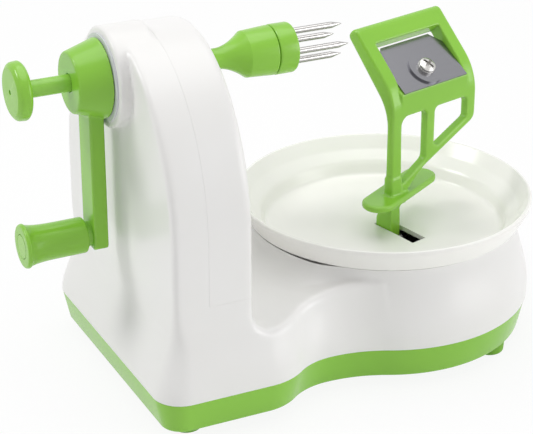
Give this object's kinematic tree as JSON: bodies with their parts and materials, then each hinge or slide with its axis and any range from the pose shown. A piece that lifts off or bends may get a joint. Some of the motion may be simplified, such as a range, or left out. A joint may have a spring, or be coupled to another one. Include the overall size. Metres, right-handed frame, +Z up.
{
  "type": "rotary apple peeler",
  "caption": "Hand-cranked rotary apple peeler with a fork on a cranked shaft, a sprung peeling arm on a turning tray and a push knob that frees the fruit.",
  "frame": {"origin": "on the surface it stands on, under the middle of the whole outline from the push knob to the far side of the tray", "axes": "+X along the crank shaft from the crank to the fork and the tray, +Y across, away from the peeling arm, +Z up"},
  "size_m": [0.2514, 0.14, 0.1711],
  "materials": {
    "lime_plastic": "satin moulded",
    "white_plastic": "satin moulded",
    "ivory_plastic": "smooth moulded",
    "grey_plastic": "moulded",
    "gear_plastic": "moulded",
    "bright_steel": "bright",
    "screw_steel": "zinc plated",
    "blade_steel": "ground",
    "foot_rubber": "matt"
  },
  "bodies": {
    "housing": {"base_tray": "lime_plastic", "rubber_feet": "foot_rubber", "base_screws": "screw_steel", "body_shell": "white_plastic", "column_cover": "white_plastic", "crank_bush": "grey_plastic", "fork_bush": "grey_plastic", "gear_bracket": "grey_plastic", "bracket_screws": "screw_steel", "compound_axle": "bright_steel", "axle_clip": "bright_steel", "pivot_washer": "bright_steel", "pivot_screw": "screw_steel"},
    "crank": {"crank_arm": "lime_plastic", "drive_shaft": "lime_plastic", "shaft_pinion": "gear_plastic", "fork_head": "lime_plastic", "fork_tines": "bright_steel", "grip_pin": "lime_plastic", "eject_spring": "bright_steel"},
    "grip": {"crank_grip": "lime_plastic"},
    "ejector": {"push_knob": "lime_plastic", "push_rod": "lime_plastic", "eject_rod": "bright_steel", "eject_ring": "lime_plastic"},
    "layshaft_set": {"layshaft": "bright_steel", "crown_wheel": "gear_plastic", "layshaft_pinion": "gear_plastic"},
    "compound": {"compound_gear": "gear_plastic"},
    "turntable": {"turntable_gear": "gear_plastic", "tray": "ivory_plastic", "tray_screws": "screw_steel", "hinge_pin": "bright_steel", "arm_spring": "bright_steel"},
    "arm": {"peeling_arm": "lime_plastic", "blade": "blade_steel", "blade_washer": "bright_steel", "blade_screw": "screw_steel", "blade_nut": "screw_steel"}
  },
  "joints": [
    {"name": "crank_turn", "type": "hinge", "parent": "housing", "child": "crank", "pos_m": [-0.0643, 0, 0.1488], "axis": [1, 0, 0], "range_deg": [-1800, 2880]},
    {"name": "grip_spin", "type": "hinge", "parent": "crank", "child": "grip", "pos_m": [-0.1093, 0, 0.0768], "axis": [1, 0, 0], "continuous": true},
    {"name": "eject_push", "type": "slide", "parent": "crank", "child": "ejector", "axis": [1, 0, 0], "range_m": [0, 0.018], "stiffness_N_per_m": 200, "springref_m": -0.006, "deforming": ["eject_spring"]},
    {"name": "layshaft_turn", "type": "hinge", "parent": "housing", "child": "layshaft_set", "pos_m": [-0.0613, 0, 0.0655], "axis": [0, 0, 1], "range_deg": [-1450, 2310]},
    {"name": "compound_turn", "type": "hinge", "parent": "housing", "child": "compound", "pos_m": [-0.0133, 0, 0.0155], "axis": [0, 0, 1], "range_deg": [-540, 340]},
    {"name": "tray_turn", "type": "hinge", "parent": "housing", "child": "turntable", "pos_m": [0.0557, 0, 0.0205], "axis": [0, 0, 1], "range_deg": [-50, 80]},
    {"name": "arm_tilt", "type": "hinge", "parent": "turntable", "child": "arm", "pos_m": [0.0579, -0.00821, 0.0455], "axis": [0.9659, 0.2588, 0], "range_deg": [0, 33], "stiffness_Nm_per_rad": 0.35, "springref_deg": -17.19, "deforming": ["arm_spring"]}
  ],
  "couplings": [
    {"joint": "layshaft_turn", "follows": "crank_turn", "ratio": 0.8},
    {"joint": "compound_turn", "follows": "crank_turn", "ratio": -0.18462},
    {"joint": "tray_turn", "follows": "crank_turn", "ratio": 0.027692}
  ]
}
